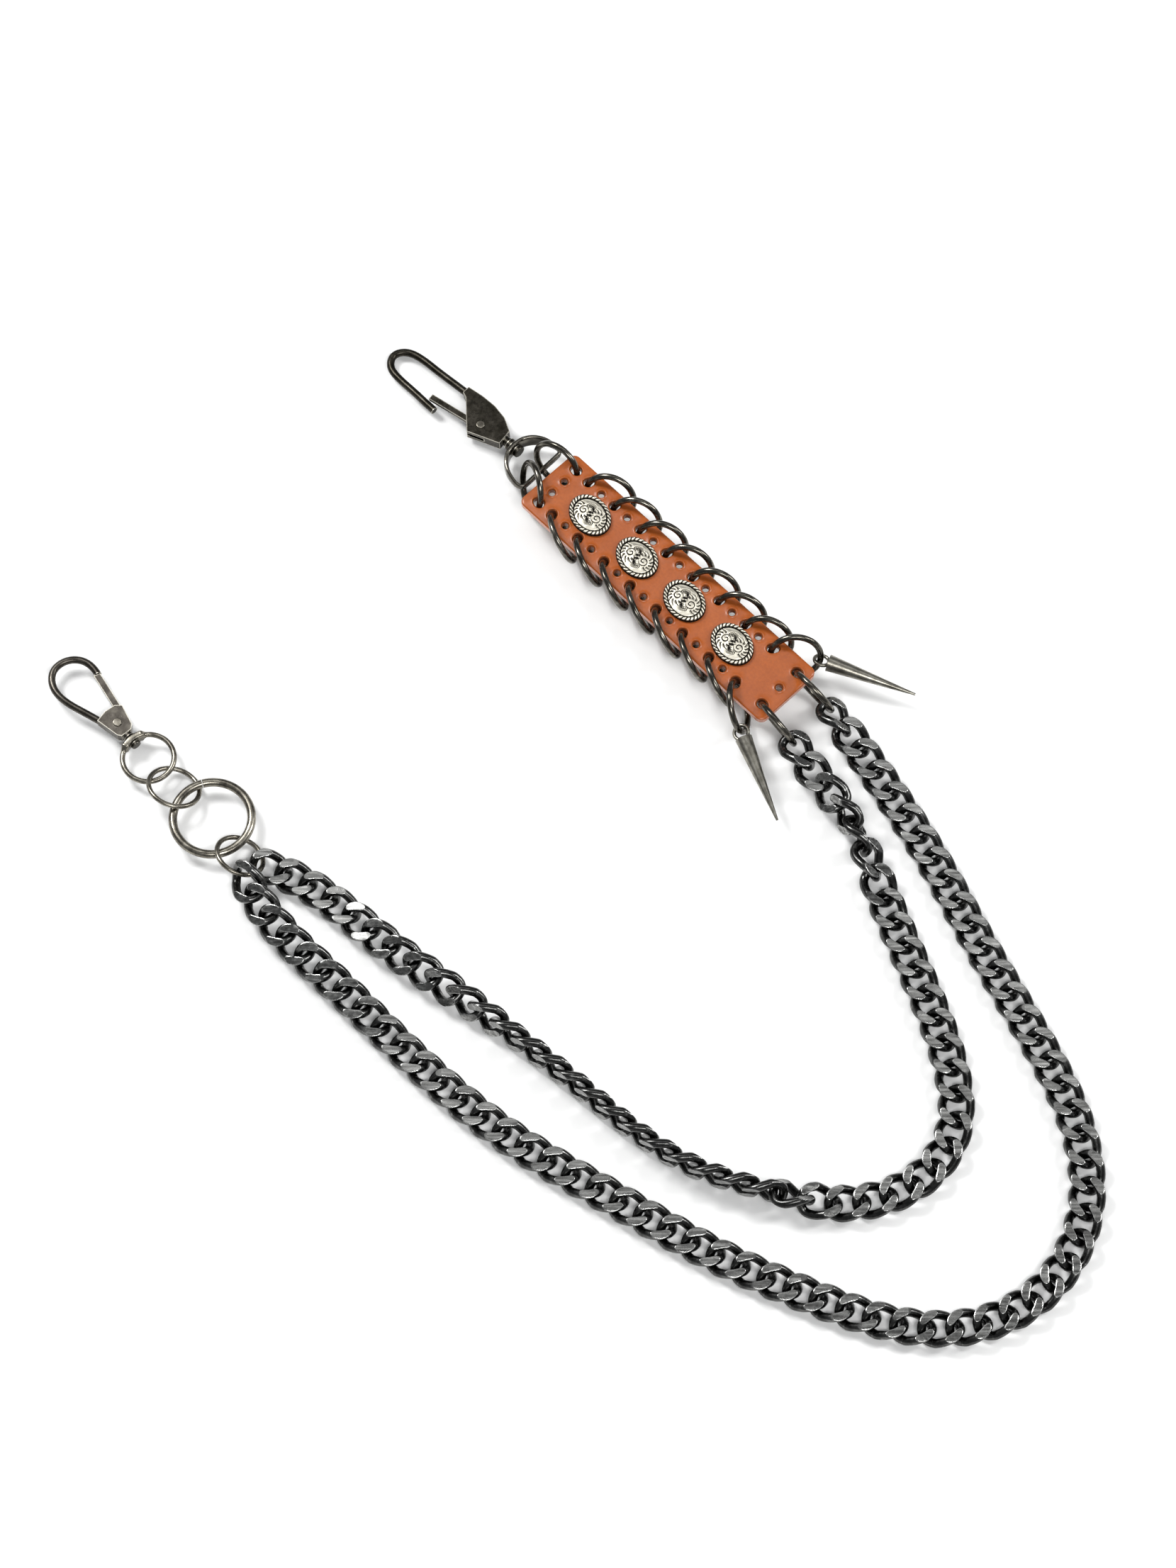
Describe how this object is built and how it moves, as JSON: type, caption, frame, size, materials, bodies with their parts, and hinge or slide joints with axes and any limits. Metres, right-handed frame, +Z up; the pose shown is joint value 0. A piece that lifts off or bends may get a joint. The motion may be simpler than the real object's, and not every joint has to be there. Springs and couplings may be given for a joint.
{
  "type": "wallet chain",
  "caption": "Double curb wallet chain with a concho-studded leather strap, laced rings, hanging spikes and a swivel snap hook at each end.",
  "frame": {"origin": "centre of the laid-out footprint, on the surface it lies on", "axes": "+Z up from the surface, +Y from the chains' far bend towards the first hook, +X to the right"},
  "size_m": [0.4193, 0.4365, 0.0238],
  "materials": {
    "leather": "glossy finished tan leather",
    "dark_nickel": "aged, darkened recesses, polished high points",
    "antique_nickel": "aged, darkened recesses, polished high points",
    "antique_silver": "aged, darkened recesses, polished high points",
    "gunmetal_chain": "aged, darkened recesses, polished high points"
  },
  "bodies": {
    "strap": {"leather_strap": "leather", "concho_1": "antique_silver", "concho_2": "antique_silver", "concho_3": "antique_silver", "concho_4": "antique_silver", "concho_screws": "antique_nickel"},
    "side_ring_right_1": {"side_ring_right_1": "dark_nickel"},
    "side_ring_right_2": {"side_ring_right_2": "dark_nickel"},
    "side_ring_right_3": {"side_ring_right_3": "dark_nickel"},
    "side_ring_right_4": {"side_ring_right_4": "dark_nickel"},
    "side_ring_right_5": {"side_ring_right_5": "dark_nickel"},
    "side_ring_right_6": {"side_ring_right_6": "dark_nickel"},
    "side_ring_right_7": {"side_ring_right_7": "dark_nickel"},
    "side_ring_right_8": {"side_ring_right_8": "dark_nickel"},
    "side_ring_left_1": {"side_ring_left_1": "dark_nickel"},
    "side_ring_left_2": {"side_ring_left_2": "dark_nickel"},
    "side_ring_left_3": {"side_ring_left_3": "dark_nickel"},
    "side_ring_left_4": {"side_ring_left_4": "dark_nickel"},
    "side_ring_left_5": {"side_ring_left_5": "dark_nickel"},
    "side_ring_left_6": {"side_ring_left_6": "dark_nickel"},
    "side_ring_left_7": {"side_ring_left_7": "dark_nickel"},
    "side_ring_left_8": {"side_ring_left_8": "dark_nickel"},
    "spike_left": {"spike_left": "antique_nickel"},
    "spike_right": {"spike_right": "antique_nickel"},
    "top_rings": {"top_ring_a": "dark_nickel", "top_ring_b": "dark_nickel"},
    "bail": {"bail": "dark_nickel"},
    "hook1": {"hook1_body": "dark_nickel", "hook1_rivet": "dark_nickel"},
    "hook1_gate": {"hook1_gate": "dark_nickel"},
    "chain_rings": {"chain_ring_outer": "dark_nickel", "chain_ring_inner": "dark_nickel"},
    "chain_fold_1": {"outer_chain_1": "gunmetal_chain", "inner_chain_1": "gunmetal_chain"},
    "chain_fold_2": {"outer_chain_2": "gunmetal_chain", "inner_chain_2": "gunmetal_chain"},
    "chain_fold_3": {"outer_chain_3": "gunmetal_chain", "inner_chain_3": "gunmetal_chain"},
    "chain_fold_4": {"outer_chain_4": "gunmetal_chain", "inner_chain_4": "gunmetal_chain"},
    "chain_fold_5": {"outer_chain_5": "gunmetal_chain", "inner_chain_5": "gunmetal_chain"},
    "chain_fold_6": {"outer_chain_6": "gunmetal_chain", "inner_chain_6": "gunmetal_chain"},
    "end_ring": {"end_ring": "antique_nickel"},
    "big_ring": {"big_ring": "antique_nickel"},
    "jump_ring": {"jump_ring": "antique_nickel"},
    "swivel_ring": {"swivel_ring": "antique_nickel"},
    "hook2": {"hook2_body": "antique_nickel", "hook2_rivet": "antique_nickel"},
    "hook2_gate": {"hook2_gate": "antique_nickel"}
  },
  "joints": [
    {"name": "side_ring_right_1_swing", "type": "hinge", "parent": "strap", "child": "side_ring_right_1", "pos_m": [0.00895, 0.1472, 0.01388], "axis": [0.6997, -0.7145, 0], "range_deg": [-6, 6]},
    {"name": "side_ring_right_2_swing", "type": "hinge", "parent": "strap", "child": "side_ring_right_2", "pos_m": [0.01952, 0.13642, 0.01388], "axis": [0.6997, -0.7145, 0], "range_deg": [-6, 6]},
    {"name": "side_ring_right_3_swing", "type": "hinge", "parent": "strap", "child": "side_ring_right_3", "pos_m": [0.03008, 0.12563, 0.01388], "axis": [0.6997, -0.7145, 0], "range_deg": [-6, 6]},
    {"name": "side_ring_right_4_swing", "type": "hinge", "parent": "strap", "child": "side_ring_right_4", "pos_m": [0.04065, 0.11484, 0.01388], "axis": [0.6997, -0.7145, 0], "range_deg": [-6, 6]},
    {"name": "side_ring_right_5_swing", "type": "hinge", "parent": "strap", "child": "side_ring_right_5", "pos_m": [0.05121, 0.10405, 0.01388], "axis": [0.6997, -0.7145, 0], "range_deg": [-6, 6]},
    {"name": "side_ring_right_6_swing", "type": "hinge", "parent": "strap", "child": "side_ring_right_6", "pos_m": [0.06178, 0.09326, 0.01388], "axis": [0.6997, -0.7145, 0], "range_deg": [-6, 6]},
    {"name": "side_ring_right_7_swing", "type": "hinge", "parent": "strap", "child": "side_ring_right_7", "pos_m": [0.07234, 0.08247, 0.01388], "axis": [0.6997, -0.7145, 0], "range_deg": [-6, 6]},
    {"name": "side_ring_right_8_swing", "type": "hinge", "parent": "strap", "child": "side_ring_right_8", "pos_m": [0.08291, 0.07168, 0.01388], "axis": [0.6997, -0.7145, 0], "range_deg": [-6, 6]},
    {"name": "side_ring_left_1_swing", "type": "hinge", "parent": "strap", "child": "side_ring_left_1", "pos_m": [-0.00576, 0.13279, 0.01388], "axis": [0.6997, -0.7145, 0], "range_deg": [-6, 6]},
    {"name": "side_ring_left_2_swing", "type": "hinge", "parent": "strap", "child": "side_ring_left_2", "pos_m": [0.0048, 0.122, 0.01388], "axis": [0.6997, -0.7145, 0], "range_deg": [-6, 6]},
    {"name": "side_ring_left_3_swing", "type": "hinge", "parent": "strap", "child": "side_ring_left_3", "pos_m": [0.01537, 0.11121, 0.01388], "axis": [0.6997, -0.7145, 0], "range_deg": [-6, 6]},
    {"name": "side_ring_left_4_swing", "type": "hinge", "parent": "strap", "child": "side_ring_left_4", "pos_m": [0.02593, 0.10043, 0.01388], "axis": [0.6997, -0.7145, 0], "range_deg": [-6, 6]},
    {"name": "side_ring_left_5_swing", "type": "hinge", "parent": "strap", "child": "side_ring_left_5", "pos_m": [0.0365, 0.08964, 0.01388], "axis": [0.6997, -0.7145, 0], "range_deg": [-6, 6]},
    {"name": "side_ring_left_6_swing", "type": "hinge", "parent": "strap", "child": "side_ring_left_6", "pos_m": [0.04706, 0.07885, 0.01388], "axis": [0.6997, -0.7145, 0], "range_deg": [-6, 6]},
    {"name": "side_ring_left_7_swing", "type": "hinge", "parent": "strap", "child": "side_ring_left_7", "pos_m": [0.05763, 0.06806, 0.01388], "axis": [0.6997, -0.7145, 0], "range_deg": [-6, 6]},
    {"name": "side_ring_left_8_swing", "type": "hinge", "parent": "strap", "child": "side_ring_left_8", "pos_m": [0.06819, 0.05727, 0.01388], "axis": [0.6997, -0.7145, 0], "range_deg": [-6, 6]},
    {"name": "spike_left_swing", "type": "hinge", "parent": "side_ring_left_8", "child": "spike_left", "pos_m": [0.07012, 0.03749, 0.00946], "axis": [-0.3677, -0.1762, 0.9131], "range_deg": [-20, 20]},
    {"name": "spike_right_swing", "type": "hinge", "parent": "side_ring_right_8", "child": "spike_right", "pos_m": [0.10265, 0.06935, 0.00946], "axis": [0.1839, 0.3639, 0.9131], "range_deg": [-20, 20]},
    {"name": "top_rings_swing", "type": "hinge", "parent": "strap", "child": "top_rings", "pos_m": [-0.00337, 0.14507, 0.01388], "axis": [0.7145, 0.6997, 0], "range_deg": [-6, 6]},
    {"name": "bail_swing", "type": "hinge", "parent": "top_rings", "child": "bail", "pos_m": [-0.01028, 0.15741, 0.00668], "axis": [-0.6947, -0.7193, 0], "range_deg": [-6, 6]},
    {"name": "hook1_swivel", "type": "hinge", "parent": "bail", "child": "hook1", "pos_m": [-0.02148, 0.16823, 0.00578], "axis": [-0.7181, 0.6935, -0.0576], "continuous": true},
    {"name": "hook1_gate_pivot", "type": "hinge", "parent": "hook1", "child": "hook1_gate", "pos_m": [-0.0355, 0.17829, 0.0048], "axis": [-0.0414, 0.04, 0.9983], "range_deg": [-14, 0], "stiffness_Nm_per_rad": 0.02, "springref_deg": 20.05},
    {"name": "chain_rings_swing", "type": "hinge", "parent": "strap", "child": "chain_rings", "pos_m": [0.08563, 0.05419, 0.01388], "axis": [0.7145, 0.6997, 0], "range_deg": [-6, 6]},
    {"name": "fold_1", "type": "hinge", "parent": "chain_rings", "child": "chain_fold_1", "pos_m": [0.09901, 0.04052, 0.00725], "axis": [-0.7145, -0.6997, 0], "range_deg": [-8, 1]},
    {"name": "fold_2", "type": "hinge", "parent": "chain_fold_1", "child": "chain_fold_2", "pos_m": [0.14491, -0.0437, 0.00293], "axis": [-0.9992, 0.0403, 0], "range_deg": [-8, 8]},
    {"name": "fold_3", "type": "hinge", "parent": "chain_fold_2", "child": "chain_fold_3", "pos_m": [0.17646, -0.12411, 0.00293], "axis": [-0.8018, 0.5976, 0], "range_deg": [-8, 8]},
    {"name": "fold_4", "type": "hinge", "parent": "chain_fold_3", "child": "chain_fold_4", "pos_m": [0.12121, -0.18679, 0.00293], "axis": [-0.5651, 0.825, 0], "range_deg": [-8, 8]},
    {"name": "fold_5", "type": "hinge", "parent": "chain_fold_4", "child": "chain_fold_5", "pos_m": [0.02738, -0.14751, 0.0052], "axis": [-0.436, 0.896, 0.0842], "range_deg": [-8, 8]},
    {"name": "fold_6", "type": "hinge", "parent": "chain_fold_5", "child": "chain_fold_6", "pos_m": [-0.05104, -0.08972, 0.00518], "axis": [-0.0616, 0.9925, 0.106], "range_deg": [-8, 8]},
    {"name": "end_ring_swing", "type": "hinge", "parent": "chain_fold_6", "child": "end_ring", "pos_m": [-0.12585, -0.02072, 0.00648], "axis": [0.6742, 0.5173, -0.5272], "range_deg": [-8, 8]},
    {"name": "big_ring_swing", "type": "hinge", "parent": "end_ring", "child": "big_ring", "pos_m": [-0.13379, -0.00981, 0.00571], "axis": [-0.8213, -0.5705, 0], "range_deg": [-6, 8]},
    {"name": "jump_ring_swing", "type": "hinge", "parent": "big_ring", "child": "jump_ring", "pos_m": [-0.15119, 0.00944, 0.0056], "axis": [-0.6492, -0.7606, 0], "range_deg": [-6, 8]},
    {"name": "swivel_ring_swing", "type": "hinge", "parent": "jump_ring", "child": "swivel_ring", "pos_m": [-0.1624, 0.02105, 0.00536], "axis": [-0.7763, -0.6304, 0], "range_deg": [-6, 8]},
    {"name": "hook2_swivel", "type": "hinge", "parent": "swivel_ring", "child": "hook2", "pos_m": [-0.17633, 0.03751, 0.00498], "axis": [-0.6561, 0.7547, 0], "continuous": true},
    {"name": "hook2_gate_pivot", "type": "hinge", "parent": "hook2", "child": "hook2_gate", "pos_m": [-0.18059, 0.04242, 0.00498], "axis": [0, 0, 1], "range_deg": [0, 22], "stiffness_Nm_per_rad": 0.02, "springref_deg": -20.05}
  ]
}
